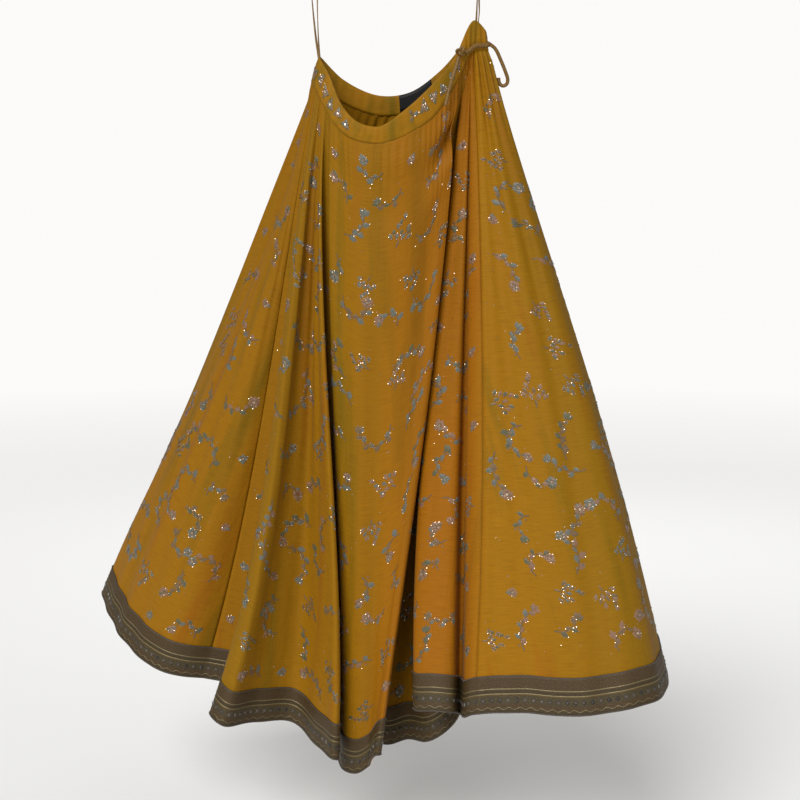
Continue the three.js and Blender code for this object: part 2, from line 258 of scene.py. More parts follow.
# name, station, x, y, z, high, low, deep
FRONT_LINES = [
    ("left edge", 0.05, -510, 270, -1004, 32, 14, 0),
    ("left flap", 0.2, -475, 185, -1043, 28, 14, 0),
    ("left flap", 0.34, -428, 125, -1076, 22, 14, 0),
    ("left flap", 0.48, -383, 95, -1094, 15, 14, 0),
    ("left flap hollow", 0.62, -318, 100, -1107, 9, 16, 0),
    ("left fold turn", 0.72, -262, 92, -1116, 6, 18, 0),
    ("left fold under", 0.82, -266, 28, -1128, 7, 20, 0),
    ("left fold crest", 0.92, -291, -22, -1127, 8, 22, 0),
    ("left fold shoulder", 1.0, -270, -42, -1139, 8, 20, 0),
    ("left front", 1.08, -224, 10, -1150, 5, 12, 0),
    ("left front", 1.18, -170, 35, -1158, 1, 6, 0),
    ("left front", 1.28, -134, 2, -1176, -4, 5, 0),
    ("groove lip", 1.38, -97, -60, -1187, -8, 4, 0),
    ("groove lip side", 1.44, -90, -52, -1190, -8, 4, 0),
    ("groove under", 1.5, -106, -12, -1186, -8, 4, 0),
    ("groove turn", 1.58, -134, 68, -1188, -6, 2, 0),
    ("groove return", 1.67, -98, 52, -1204, -4, 2, 0),
    ("centre left", 1.8, -85, -8, -1222, -4, 2, 0),
    ("centre", 2.9, -62, -22, -1223, 0, 0, 0),
    ("centre crest", 4.3, -45, -34, -1208, 4, 4, 0),
    ("centre right", 5.8, -36, -46, -1192, 10, 8, 0),
    ("centre lip", 6.9, -29, -60, -1180, 12, 8, 0),
    ("centre lip side", 6.98, -24, -52, -1182, 12, 8, 0),
    ("centre under", 7.06, -54, -12, -1184, 0, -14, 6),
    ("recess turn", 7.15, -66, 60, -1196, -2, -14, 40),
    ("recess", 7.25, -14, 62, -1206, 0, -10, 52),
    ("recess", 7.35, 18, 44, -1191, -4, -12, 54),
    ("recess", 7.45, 51, 8, -1182, -8, -14, 54),
    ("recess", 7.55, 80, -4, -1160, -10, -16, 52),
    ("recess end", 7.62, 100, -26, -1118, -12, -18, 50),
    ("right fold under", 7.68, 64, -44, -1100, -10, -15, 44),
    ("right fold lip side", 7.73, 28, -78, -1098, -14, -19, 34),
    ("right fold lip", 7.77, 31, -91, -1099, -13, -18, 30),
    ("right fold", 7.82, 57, -106, -1095, -10, -14, 24),
    ("right fold", 7.87, 84, -104, -1098, -4, -6, 18),
    ("slit", 7.92, 97, -72, -1110, 0, 0, 14),
    ("slit lip", 7.98, 104, -112, -1103, 2, 2, 8),
    ("right front seam", 8.06, 116, -128, -1093, 10, 12, 0),
    ("right front", 8.2, 186, -140, -1086, 10, 13, 0),
    ("right front", 8.36, 253, -156, -1086, 10, 14, 0),
    ("right front", 8.52, 307, -162, -1080, 9, 15, 0),
    ("right front", 8.68, 357, -156, -1071, 9, 16, 0),
    ("right edge", 8.85, 400, -118, -1066, 9, 17, 0),
]
# name, station, x, y
BACK_LINES = [
    ("right side crest", 9.3, 412, 10),
    ("right side hollow", 9.7, 366, 92),
    ("right back crest", 10.1, 352, 205),
    ("right back hollow", 10.5, 268, 196),
    ("right back crest", 10.9, 216, 300),
    ("right back hollow", 11.4, 142, 252),
    ("back crest", 11.9, 82, 346),
    ("back hollow", 12.5, 0, 288),
    ("back crest", 13.0, -72, 382),
    ("back hollow", 13.5, -152, 312),
    ("left back crest", 14.0, -232, 408),
    ("left back hollow", 14.6, -305, 330),
    ("left back crest", 15.1, -386, 398),
    ("left side hollow", 15.5, -436, 322),
    ("left side crest", 15.8, -496, 336),
]
# name, station of its first seam
GORES = [
    ("gore_left_front", 0.62),
    ("gore_centre_front", 1.58),
    ("gore_right_front", 7.15),
    ("gore_right_side", 8.06),
    ("gore_right_back", 10.1),
    ("gore_centre_back", 11.9),
    ("gore_left_back", 14.0),
    ("gore_left_side", 15.8),
]
ROWS_DOWN = 96
ROWS_CLOSER_ABOVE = 1.3  # the power that brings the rows closer together near the waist
HEM_STEP = 5.5  # width of the mesh's columns at the hem
WAIST_STEP = 1.9  # and at the waist seam

waist_table = np.array(WAIST, float)
band_top_points = waist_table[:, [0, 1, 2]]
seam_points = waist_table[:, [3, 1, 4]]


def waist_at(points, stations):
    return along_curve(points, (np.asarray(stations, float) / len(WAIST)) % 1, closed=True)


line_rows = [row[1:] for row in FRONT_LINES]
for _, station, x, y in BACK_LINES:
    seam = waist_at(seam_points, [station])[0]
    out = math.hypot(x - seam[0], y - seam[1])
    line_rows.append((station, x, y, seam[2] - math.sqrt(SKIRT_DROP**2 - out**2), 0, 0, 0))
lines = np.array(line_rows, float)
line_stations = lines[:, 0]
line_seams = waist_at(seam_points, line_stations)
line_hems = lines[:, 1:4]
line_high, line_low, line_deep = lines[:, 4], lines[:, 5], lines[:, 6]


def ring_points(v):
    """The middle of the cloth on each line, v of the way down from the waist seam."""
    places = line_seams + (line_hems - line_seams) * v
    places[:, 0] += 13.5 * v * (1 - v) * (line_high * (2 / 3 - v) + line_low * (v - 1 / 3))
    places[:, 1] += 4 * v * (1 - v) * line_deep
    return places


hem_reach = np.linalg.norm(np.roll(line_hems, -1, 0) - line_hems, axis=1)
seam_reach = np.linalg.norm(np.roll(line_seams, -1, 0) - line_seams, axis=1)
steps_round = np.ceil(np.maximum(np.maximum(hem_reach / HEM_STEP, seam_reach / WAIST_STEP), 2)).astype(int)
columns = np.concatenate([i + np.arange(n) / n for i, n in enumerate(steps_round)])
next_stations = np.append(line_stations[1:], line_stations[0] + len(WAIST))
column_stations = np.interp(columns, np.arange(len(lines) + 1), np.append(line_stations, next_stations[-1]))
rows = np.linspace(0, 1, ROWS_DOWN) ** ROWS_CLOSER_ABOVE
rows = np.sort(np.append(rows, BORDER_SHARE))
cloth = np.array([along_curve(ring_points(v), columns / len(lines), closed=True) for v in rows]) / 1000


def normals_of(grid):
    """The way the cloth faces at each place of a grid that closes on itself round the skirt."""
    round_step = np.roll(grid, -1, 1) - np.roll(grid, 1, 1)
    down_step = np.gradient(grid, axis=0)
    facing = np.cross(down_step, round_step)
    return facing / np.maximum(np.linalg.norm(facing, axis=2, keepdims=True), 1e-12)


seam_ring = cloth[0].copy()
# The hem's own length counts the places of creases round the skirt, in metres from the first line.
hem_along = np.append(0, np.cumsum(np.linalg.norm(np.diff(cloth[-1], axis=0), axis=1)))
cloth_facing = normals_of(cloth)


def bump_of(distance):
    return np.exp(-(distance**2))


# Creases: line of the cloth, where it begins and ends down the skirt, half its width on
# the hem, and its depth, in metres, a trough below zero and a ridge above.
CREASES = [
    (3.4, 0.10, 0.75, 0.018, -0.0030),
    (5.2, 0.30, 1.10, 0.014, 0.0025),
    (10.4, 0.12, 0.60, 0.016, -0.0028),
    (11.3, 0.45, 1.10, 0.020, 0.0035),
    (17.6, -0.05, 0.55, 0.012, -0.0040),
    (18.3, 0.05, 0.95, 0.014, 0.0040),
    (18.8, 0.20, 0.80, 0.010, -0.0035),
    (19.4, -0.05, 0.70, 0.011, 0.0035),
    (20.2, 0.00, 0.60, 0.009, -0.0040),
    (20.7, 0.25, 1.05, 0.012, 0.0030),
    (22.4, 0.02, 0.45, 0.008, -0.0040),
    (5.9, 0.15, 1.10, 0.012, -0.0030),
    (8.4, 0.05, 0.90, 0.014, 0.0035),
    (19.0, 0.55, 1.15, 0.009, -0.0030),
    (37.2, 0.10, 1.10, 0.010, 0.0030),
    (38.4, -0.05, 0.40, 0.022, -0.0030),
    (39.3, 0.05, 0.95, 0.026, 0.0035),
    (40.4, 0.10, 0.62, 0.022, -0.0030),
    (41.3, 0.35, 1.10, 0.024, 0.0030),
    (42.3, -0.02, 0.50, 0.016, -0.0028),
    (44.5, 0.05, 0.80, 0.018, -0.0035),
    (46.4, 0.15, 1.10, 0.022, 0.0035),
    (48.6, 0.00, 0.60, 0.020, -0.0035),
    (50.5, 0.20, 1.10, 0.022, 0.0040),
    (52.4, 0.05, 0.75, 0.020, -0.0035),
    (54.5, 0.25, 1.10, 0.020, 0.0035),
    (56.3, 0.05, 0.65, 0.018, -0.0030),
]
crease_push = np.zeros(cloth.shape[:2])
down = rows[:, None]
for line, top, foot, half_width, depth in CREASES:
    middle = np.interp(line, columns, hem_along)
    window = np.clip((down - top) / 0.2, 0, 1) * np.clip((foot - down) / 0.3, 0, 1)
    crease_push += depth * window * bump_of((hem_along[None, :] - middle) / half_width)

# Short dents near the waist: station, share of the way down, half width in stations, half height, depth.
DENTS = [
    (6.55, 0.075, 0.46, 0.022, -0.0150),
    (6.0, 0.125, 0.40, 0.030, 0.0040),
    (2.6, 0.060, 0.35, 0.030, -0.0030),
    (4.2, 0.110, 0.60, 0.020, -0.0025),
    (13.2, 0.060, 0.50, 0.025, -0.0040),
    (11.4, 0.080, 0.40, 0.030, 0.0035),
]
for station, height, half_width, half_height, depth in DENTS:
    aside = (column_stations[None, :] - station) / half_width
    crease_push += depth * bump_of(aside) * bump_of((down - height) / half_height)

# Soft ripples that run down the cloth, and the fine gathers under the waist seam.
RIPPLES = 9
RIPPLE_HEIGHT = 0.00055
random = np.random.default_rng(12)
for _ in range(RIPPLES):
    wave = random.uniform(0.05, 0.13)
    drift = random.uniform(-0.5, 0.5)
    start = random.uniform(0, 2 * math.pi)
    phase = 2 * math.pi * hem_along[None, :] / wave + drift * 2 * math.pi * down + start
    crease_push += RIPPLE_HEIGHT * np.sin(phase) * np.clip(down * 3, 0.25, 1)
stations = column_stations[None, :]
gather_drift = 0.35 * np.sin(2.1 * stations) + 0.5 * np.sin(0.77 * stations + 1)
gather_phase = 2 * math.pi * (4.3 * stations + gather_drift)
gather_long = 0.05 + 0.035 * np.sin(3.3 * stations) + 0.12 * bump_of((stations - 8.3) / 1.1)
gather_deep = 0.0011 + 0.0004 * np.sin(5.1 * stations) + 0.0012 * bump_of((stations - 8.2) / 0.9)
gather_fade = np.exp(-((down / gather_long) ** 1.3)) * np.clip(down * 60, 0, 1)
crease_push += gather_deep * np.sin(gather_phase) * gather_fade
# The cloth bulges a little just under the band, where the seam draws it in.
BULGE = 0.0035
crease_push += BULGE * bump_of((down - 0.035) / 0.022) * bump_of((stations - 5.0) / 2.6)

# The seams between the gores pull the cloth in along a narrow line.
SEAM_PINCH = 0.0011
SEAM_HALF_WIDTH = 0.004
goring = [int(np.searchsorted(column_stations, start - 1e-6)) for _, start in GORES]
goring.append(goring[0] + len(columns))
for start in goring[:-1]:
    aside = np.abs(hem_along - hem_along[start])
    aside = np.minimum(aside, hem_along[-1] - aside)
    crease_push -= SEAM_PINCH * bump_of(aside[None, :] / SEAM_HALF_WIDTH)
cloth = cloth + cloth_facing * crease_push[:, :, None]
cloth_facing = normals_of(cloth)

# Raw silk: mustard with soft bands of olive and orange down it, thick uneven threads across it, and painted
# shade that darkens it to olive in its deep folds.
SILK_GOLD = (0.290, 0.128, 0.0005)
SILK_ORANGE = (0.290, 0.094, 0.0004)
SILK_OLIVE = (0.170, 0.098, 0.0006)
silk, silk_shader = new_material("raw_silk", SILK_GOLD, 0.62, sheen=0.02)
silk_shader.inputs["Specular IOR Level"].default_value = 0.14
silk_uv = add_node(silk, "ShaderNodeTexCoord").outputs["UV"]
silk_bands = add_noise(silk, silk_uv, (17, 1.3, 1), 4)
silk_colours = add_ramp(
    silk,
    silk_bands.outputs["Fac"],
    [(0.32, SILK_OLIVE), (0.45, SILK_GOLD), (0.57, SILK_GOLD), (0.70, SILK_ORANGE)],
)
silk_warmth = add_node(silk, "ShaderNodeAttribute", attribute_name="warmth").outputs["Fac"]
silk_warm = add_node(
    silk,
    "ShaderNodeMixRGB",
    {"Fac": silk_warmth, "Color1": silk_colours.outputs["Color"], "Color2": (*SILK_ORANGE, 1)},
)
# The olive attribute is painted shade: it darkens the silk towards olive where the folds, the recess and the
# right side lie in shade.
silk_painted_shade = add_node(silk, "ShaderNodeAttribute", attribute_name="olive").outputs["Fac"]
silk_dyed_and_shaded = add_node(
    silk,
    "ShaderNodeMixRGB",
    {"Fac": silk_painted_shade, "Color1": silk_warm.outputs["Color"], "Color2": (*SILK_OLIVE, 1)},
)
silk_slubs = add_noise(silk, silk_uv, (38, 760, 1), 4)
silk_threads = add_noise(silk, silk_uv, (900, 60, 1), 2)
SLUB_STOPS = [(0.28, (0.84,) * 3), (0.5, (1.0,) * 3), (0.72, (1.10,) * 3)]
silk_toned = multiply(silk, silk_dyed_and_shaded, add_ramp(silk, silk_slubs.outputs["Fac"], SLUB_STOPS))
silk_relief = add_node(
    silk,
    "ShaderNodeMath",
    {0: silk_slubs.outputs["Fac"], 1: silk_threads.outputs["Fac"]},
    operation="ADD",
)
silk_weave = add_bump(silk, silk_shader, silk_relief.outputs["Value"], 0.3, 0.0006)
silk_wrinkles = add_noise(silk, silk_uv, (26, 6, 1), 4)
add_bump(silk, silk_shader, silk_wrinkles.outputs["Fac"], 0.55, 0.006, Normal=silk_weave)
link(silk, silk_toned, silk_shader.inputs["Base Color"])

# How far the dye leans to orange, by station round the skirt, and how far painted shade darkens the silk to
# olive: most in the left fold, the groove, the recess and on the right side, where shade falls.
WARMTH = [(0, 0.30), (1.5, 0.05), (2.5, 0.10), (5.0, 0.45), (6.9, 0.85), (8.0, 0.75), (8.1, 0.05)]
WARMTH += [(11, 0.3), (16, 0.2)]
PAINTED_SHADE = [(0, 0.2), (0.7, 0.15), (0.95, 0.5), (1.3, 0.1), (1.55, 0.5), (2.4, 0.1), (4.0, 0.25), (5.0, 0.0)]
PAINTED_SHADE += [(7.0, 0.1), (7.3, 0.6), (7.6, 0.3), (7.75, 0.0), (8.2, 0.0), (8.5, 0.35), (9.0, 0.75)]
PAINTED_SHADE += [(10, 0.4), (16, 0.2)]
warmth_at = np.interp(column_stations % 16, *zip(*WARMTH))
painted_shade_at = np.interp(column_stations % 16, *zip(*PAINTED_SHADE))
SILK_THICKNESS = 0.0009


def grid_faces(count_across, count_down):
    """Quads over a grid of places counted row by row, seen from outside."""
    first = (np.arange(count_down - 1)[:, None] * count_across + np.arange(count_across - 1)[None, :]).ravel()
    return np.stack([first, first + count_across, first + count_across + 1, first + 1], 1)


def new_piece(name, vertices, faces, materials, uv=None, slots=None):
    """A smooth mesh at the origin, with its map of the flat cut where it has one."""
    mesh = bpy.data.meshes.new(name)
    mesh.from_pydata([tuple(v) for v in vertices], [], [tuple(int(i) for i in f) for f in faces])
    for material in materials:
        mesh.materials.append(material)
    mesh.polygons.foreach_set("use_smooth", [True] * len(mesh.polygons))
    if slots is not None:
        mesh.polygons.foreach_set("material_index", [int(s) for s in slots])
    if uv is not None:
        corners = np.empty(len(mesh.loops), int)
        mesh.loops.foreach_get("vertex_index", corners)
        layer = mesh.uv_layers.new(name="cut")
        layer.data.foreach_set("uv", np.asarray(uv, float)[corners].ravel())
    piece = bpy.data.objects.new(name, mesh)
    scene.collection.objects.link(piece)
    return piece


# Sets a point attribute on a piece: the dye's warmth, and also the painted shade named olive.
def give_dye_and_shade(piece, name, values):
    piece.data.attributes.new(name, "FLOAT", "POINT").data.foreach_set("value", np.asarray(values, float))


def thicken(piece, thickness, offset=0.0):
    wall = piece.modifiers.new("wall", "SOLIDIFY")
    wall.thickness = thickness
    wall.offset = offset


cut_grids = {}
gore_pieces = {}
GORE_SHIFT = 1.7  # metres between two gores' cuts on the map, so that no two have the same slubs
for index, (name, _) in enumerate(GORES):
    picked = np.arange(goring[index], goring[index + 1] + 1) % len(columns)
    grid = cloth[:, picked]
    facing = cloth_facing[:, picked]
    widths = np.linalg.norm(np.diff(grid, axis=1), axis=2)
    across = np.concatenate([np.zeros((len(rows), 1)), np.cumsum(widths, axis=1)], axis=1)
    across -= across[:, -1:] / 2
    drop = np.append(0, np.cumsum(np.linalg.norm(np.diff(grid, axis=0), axis=2).mean(axis=1)))
    cut_grids[name] = (grid, facing, across, drop)
    down_cut = np.broadcast_to(-drop[:, None], across.shape)
    uv = np.stack([across + GORE_SHIFT * index, down_cut], 2).reshape(-1, 2)
    faces = grid_faces(len(picked), len(rows))
    piece = new_piece(name + "_cloth", grid.reshape(-1, 3), faces, [silk], uv)
    give_dye_and_shade(piece, "warmth", np.broadcast_to(warmth_at[picked], across.shape).ravel())
    # The olive attribute here is painted shade, not dye.
    give_dye_and_shade(piece, "olive", np.broadcast_to(painted_shade_at[picked], across.shape).ravel())
    thicken(piece, SILK_THICKNESS)
    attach(piece, "root")
    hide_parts(name)
    gore_pieces[name] = piece

# The embroidery: sprigs of leaves, buds and five-petalled flowers in satin stitch over the whole of
# each gore, in taupe, blue-grey, grey-green and dull pink thread, with small silver sequins among them.
THREADS = [
    ("thread_taupe", (0.150, 0.090, 0.036)),
    ("thread_blue_grey", (0.118, 0.122, 0.096)),
    ("thread_grey_green", (0.092, 0.088, 0.042)),
    ("thread_pink", (0.225, 0.115, 0.062)),
]
SEQUIN_SILVER = (0.52, 0.42, 0.31)
SEQUIN_DULL = (0.42, 0.32, 0.24)
thread_materials = []
for thread_name, thread_colour in THREADS:
    thread, thread_shader = new_material(thread_name, thread_colour, 0.42, sheen=0.08)
    darker = tuple(0.55 * c for c in thread_colour)
    lighter = tuple(1.35 * c for c in thread_colour)
    add_grain(thread, thread_shader, (1500, 1500, 420), 2, [(0.3, darker), (0.7, lighter)], 0.6)
    thread_materials.append(thread)
sequin, sequin_shader = new_material("sequin_silver", SEQUIN_SILVER, 0.3, metallic=0.9)
add_grain(sequin, sequin_shader, (300, 300, 300), 1, [(0.35, SEQUIN_DULL), (0.6, SEQUIN_SILVER)])
SEQUIN = len(THREADS)
STITCH_RISE = 0.0007
SEQUIN_RADIUS = 0.0008


class Stitching:
    """Flat pieces of stitching: places on the cloth in metres across and down, heights, faces, threads."""

    def __init__(self):
        self.places, self.heights, self.faces, self.threads = [], [], [], []

    def add(self, places, heights, faces, thread):
        first = len(self.places)
        self.places.extend(places)
        self.heights.extend(heights)
        self.faces.extend(tuple(first + i for i in face) for face in faces)
        self.threads.extend([thread] * len(faces))

    def leaf(self, base, angle, length, width, thread, beaded=False):
        """A pointed leaf, raised along its middle, with small sequins round it where it is beaded."""
        shape = [(0, 0), (0.3, 0.42), (0.62, 0.5), (1, 0), (0.62, -0.5), (0.3, -0.42), (0.32, 0), (0.66, 0)]
        c, s = math.cos(angle), math.sin(angle)
        places = []
        for along, aside in shape:
            x, y = along * length, aside * width * (1 + 0.25 * math.sin(3 * along))
            places.append((base[0] + c * x - s * y, base[1] + s * x + c * y))
        heights = [0.3, 0.15, 0.15, 0.15, 0.15, 0.15, 1.2, 1.2]
        faces = [(0, 6, 1), (1, 6, 7, 2), (2, 7, 3), (3, 7, 4), (4, 7, 6, 5), (5, 6, 0)]
        self.add(places, heights, faces, thread)
        if beaded:
            for spot in places[1:6]:
                self.disc(spot, 0.00075, SEQUIN, 0.9, 0.5, 5)

    def disc(self, centre, radius, thread, height=1.0, tilt=0.0, sides=7):
        turns = [2 * math.pi * i / sides for i in range(sides)]
        places = [(centre[0] + radius * math.cos(t), centre[1] + radius * math.sin(t)) for t in turns]
        heights = [height + tilt * math.cos(t + 9 * centre[0] * 1000) for t in turns]
        faces = [(sides, (i + 1) % sides, i) for i in range(sides)]
        self.add(places + [centre], heights + [height], faces, thread)

    def flower(self, centre, radius, turn, thread):
        for petal in range(5):
            angle = turn + 2 * math.pi * petal / 5
            reach = 0.18 * radius
            base = (centre[0] + reach * math.cos(angle), centre[1] + reach * math.sin(angle))
            self.leaf(base, angle, 0.85 * radius, 0.66 * radius, thread, petal % 2 == 0)
        self.disc(centre, 0.24 * radius, SEQUIN, 1.6, 0.5)

    def cluster(self, centre, angle, size, threads, rng):
        """A pointed bunch of small leaves and buds on a short stem, widest near its foot."""
        c, s = math.cos(angle), math.sin(angle)
        for level in range(5):
            spread = (1 - level / 5) * 0.36
            for aside in np.linspace(-spread, spread, max(1, 4 - level)):
                x, y = (level / 5 + 0.04 * rng.standard_normal()) * size, aside * size
                spot = (centre[0] + c * x - s * y, centre[1] + s * x + c * y)
                leaf_thread = threads[1 + level % 2]
                self.leaf(spot, angle + 2.2 * aside, 0.26 * size, 0.13 * size, leaf_thread, level % 2 == 0)
                self.disc(spot, 0.0016, threads[3], 1.2, 0.3, 6)
                self.disc(spot, SEQUIN_RADIUS, SEQUIN, 1.8, 0.5, 5)
        foot = (centre[0] - 0.4 * size * c, centre[1] - 0.4 * size * s)
        self.leaf(foot, angle, 0.42 * size, 0.08 * size, threads[0])

    def sprig(self, base, angle, length, curl, threads, rng):
        """A curling stem: leaves on both its sides, sequins beside it, a flower or buds at its end."""
        steps = max(5, int(length / 0.008))
        place, heading = np.array(base, float), angle
        spine = [place.copy()]
        headings = [heading]
        for step in range(steps):
            heading += curl / steps * (1.0 + 0.7 * math.sin(math.pi * step / steps))
            place = place + length / steps * np.array([math.cos(heading), math.sin(heading)])
            spine.append(place.copy())
            headings.append(heading)
        places, heights, faces = [], [], []
        for i, (spot, way) in enumerate(zip(spine, headings)):
            half = 0.0011 * (1 - 0.4 * i / steps)
            side = half * np.array([-math.sin(way), math.cos(way)])
            places += [tuple(spot + side), tuple(spot - side)]
            heights += [0.7, 0.7]
            if i:
                faces.append((2 * i - 2, 2 * i - 1, 2 * i + 1, 2 * i))
        self.add(places, heights, faces, threads[0])
        for i in range(1, steps + 1):
            side = 1 if i % 2 else -1
            size = rng.uniform(0.0105, 0.0175) * (1 - 0.3 * i / steps)
            lean = headings[i] + side * rng.uniform(0.35, 0.85)
            leaf_thread = threads[1 + (i + int(base[0] * 999)) % 2]
            self.leaf(tuple(spine[i]), lean, size, 0.5 * size, leaf_thread, rng.random() < 0.55)
            if rng.random() < 0.7:
                beside = np.array([-math.sin(headings[i]), math.cos(headings[i])])
                spot = spine[i] - side * rng.uniform(0.002, 0.006) * beside
                self.disc(tuple(spot), 0.0017, threads[3], 1.1, 0.3, 6)
                self.disc(tuple(spot), SEQUIN_RADIUS, SEQUIN, 1.7, 0.5, 5)
        if rng.random() < 0.6:
            self.flower(tuple(spine[-1]), rng.uniform(0.0075, 0.0100), headings[-1], threads[3])
        else:
            for turn in (-0.55, 0, 0.55):
                self.leaf(tuple(spine[-1]), headings[-1] + turn, 0.0125, 0.0056, threads[2], turn == 0)


def on_cut(name, places, heights):
    """The places in space of stitching laid flat on a piece's cut."""
    grid, facing, across, drop = cut_grids[name]
    places = np.asarray(places, float)
    row = np.interp(places[:, 1], drop, np.arange(len(drop)))
    upper = np.minimum(row.astype(int), len(drop) - 2)
    result = np.zeros((len(places), 3))
    normals = np.zeros((len(places), 3))
    for r in np.unique(upper):
        mine = np.nonzero(upper == r)[0]
        for step in (0, 1):
            weight = (row[mine] - r) if step else (1 - row[mine] + r)
            column = np.interp(places[mine, 0], across[r + step], np.arange(across.shape[1]))
            left = np.minimum(column.astype(int), across.shape[1] - 2)
            share = (column - left)[:, None]
            for source, target in ((grid, result), (facing, normals)):
                line = source[r + step]
                target[mine] += weight[:, None] * (line[left] * (1 - share) + line[left + 1] * share)
    normals /= np.maximum(np.linalg.norm(normals, axis=1, keepdims=True), 1e-9)
    lift = SILK_THICKNESS / 2 + STITCH_RISE * np.asarray(heights, float)
    return result + normals * lift[:, None]


SPRIG_STEP_ACROSS = 0.067
SPRIG_STEP_DOWN = 0.061
CLUSTER_SHARE = 0.24
for index, (name, _) in enumerate(GORES):
    rng = np.random.default_rng(40 + index)
    _, _, across, drop = cut_grids[name]
    stitching = Stitching()
    foot = np.interp(BORDER_SHARE, rows, drop) - 0.006
    level = 0.035
    odd = 0
    while level < foot - 0.012:
        half = np.interp(level, drop, -across[:, 0])
        count = max(1, int(round(2 * half / SPRIG_STEP_ACROSS)))
        for k in range(count):
            shift = 0.25 * (odd % 2 * 2 - 1) * (count > 2)
            middle = -half + (k + 0.5 + shift) * 2 * half / count
            spot = (middle + rng.uniform(-0.012, 0.012), level + rng.uniform(-0.016, 0.016))
            length = rng.uniform(0.042, 0.078)
            angle = rng.uniform(0, 2 * math.pi)
            curl = rng.choice([-1, 1]) * rng.uniform(0.7, 2.2)
            threads = [0, *rng.permutation([0, 1, 1, 2, 3]).tolist()[:2], int(rng.choice([1, 3, 3]))]
            start = len(stitching.places)
            first_face = len(stitching.faces)
            lean = angle + curl / 2
            base = (spot[0] - 0.4 * length * math.cos(lean), spot[1] - 0.4 * length * math.sin(lean))
            if rng.random() < CLUSTER_SHARE:
                stitching.cluster(spot, angle, rng.uniform(0.026, 0.038), threads, rng)
            else:
                stitching.sprig(base, angle, length, curl, threads, rng)
            made = np.array(stitching.places[start:])
            room = np.interp(made[:, 1], drop, -across[:, 0]) - np.abs(made[:, 0])
            if room.min() < 0.004 or made[:, 1].max() > foot or made[:, 1].min() < 0.008:
                del stitching.places[start:], stitching.heights[start:]
                del stitching.faces[first_face:], stitching.threads[first_face:]
                if half > 0.012 and 0.02 < spot[1] < foot - 0.012 and abs(spot[0]) < half - 0.012:
                    stitching.flower(spot, 0.0075, angle, threads[3])
                    stitching.leaf(spot, angle + 0.6, 0.011, 0.004, 1)
            for _ in range(2):
                glint = (spot[0] + rng.uniform(-0.03, 0.03), spot[1] + rng.uniform(-0.03, 0.03))
                edge = np.interp(glint[1], drop, -across[:, 0])
                if abs(glint[0]) < edge - 0.004 and 0.01 < glint[1] < foot:
                    stitching.disc(glint, SEQUIN_RADIUS, SEQUIN, 0.8, 0.6, 5)
        level += SPRIG_STEP_DOWN * rng.uniform(0.9, 1.1)
        odd += 1
    piece = new_piece(
        name + "_embroidery",
        on_cut(name, stitching.places, stitching.heights),
        stitching.faces,
        [*thread_materials, sequin],
        slots=stitching.threads,
    )
    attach(piece, "root")

for name, piece in gore_pieces.items():
    grid, _, across, drop = cut_grids[name]

# The hem border: one woven metallic ribbon 56 mm tall, sewn on the outside all round the hem. It has
# a dark corded edge, two silver lines, a yellow stripe, a row of small beads and a waving silver wire.
BORDER_OFF = 0.0012
BORDER_THICKNESS = 0.0011
BORDER_TAUPE = (0.080, 0.048, 0.016)
BORDER_OLIVE = (0.060, 0.040, 0.010)
BORDER_DARK = (0.014, 0.008, 0.003)
BORDER_GREY = (0.072, 0.056, 0.030)
BORDER_YELLOW = (0.13, 0.072, 0.004)
BORDER_SILVER = (0.20, 0.165, 0.105)
join = goring[-2]
border_columns = np.arange(join, join + len(columns) + 1) % len(columns)
border_top = int(np.argmin(np.abs(rows - BORDER_SHARE)))


def lay_border(up_share, off):
    """The border's places all round, for each share of its height from its top edge, off the cloth."""
    v = rows[border_top] + (1 - rows[border_top]) * np.asarray(up_share, float)
    row = np.interp(v, rows, np.arange(len(rows)))
    upper = np.minimum(row.astype(int), len(rows) - 2)
    share = (row - upper)[:, None, None]
    places = cloth[upper] * (1 - share) + cloth[upper + 1] * share
    faces = cloth_facing[upper] * (1 - share) + cloth_facing[upper + 1] * share
    return (places + faces * off)[:, border_columns], faces[:, border_columns]


border_shares = np.linspace(0, 1, 15)
border_grid, border_facing = lay_border(border_shares, BORDER_OFF)
border_along = np.append(0, np.cumsum(np.linalg.norm(np.diff(border_grid[7], axis=0), axis=1)))
border_size = border_grid.shape[:2]
border_across = np.broadcast_to(border_along, border_size)
border_up = np.broadcast_to(1 - border_shares[:, None], border_size)
border_uv = np.stack([border_across, border_up], 2).reshape(-1, 2)
zari, zari_shader = new_material("zari_ribbon", BORDER_TAUPE, 0.6, metallic=0.15, sheen=0.0)
zari_uv = add_node(zari, "ShaderNodeTexCoord").outputs["UV"]
zari_parts = add_node(zari, "ShaderNodeSeparateXYZ", {"Vector": zari_uv})
zari_stripes = add_ramp(
    zari,
    zari_parts.outputs["Y"],
    [
        (0.0, BORDER_DARK),
        (0.035, BORDER_OLIVE),
        (0.12, BORDER_TAUPE),
        (0.26, BORDER_GREY),
        (0.44, BORDER_GREY),
        (0.47, BORDER_YELLOW),
        (0.50, BORDER_SILVER),
        (0.525, BORDER_OLIVE),
        (0.60, BORDER_TAUPE),
        (0.63, BORDER_SILVER),
        (0.655, BORDER_TAUPE),
        (0.94, BORDER_TAUPE),
        (0.97, BORDER_DARK),
    ],
)
zari_stripes.color_ramp.interpolation = "CONSTANT"
zari_weave = add_noise(zari, zari_uv, (520, 26, 1), 3)
ZARI_STOPS = [(0.3, (0.38, 0.34, 0.19)), (0.55, (0.74, 0.66, 0.34)), (0.75, (1.25, 1.1, 0.6))]
zari_tones = add_ramp(zari, zari_weave.outputs["Fac"], ZARI_STOPS)
link(zari, multiply(zari, zari_stripes, zari_tones), zari_shader.inputs["Base Color"])
add_bump(zari, zari_shader, zari_weave.outputs["Fac"], 0.6, 0.0007)
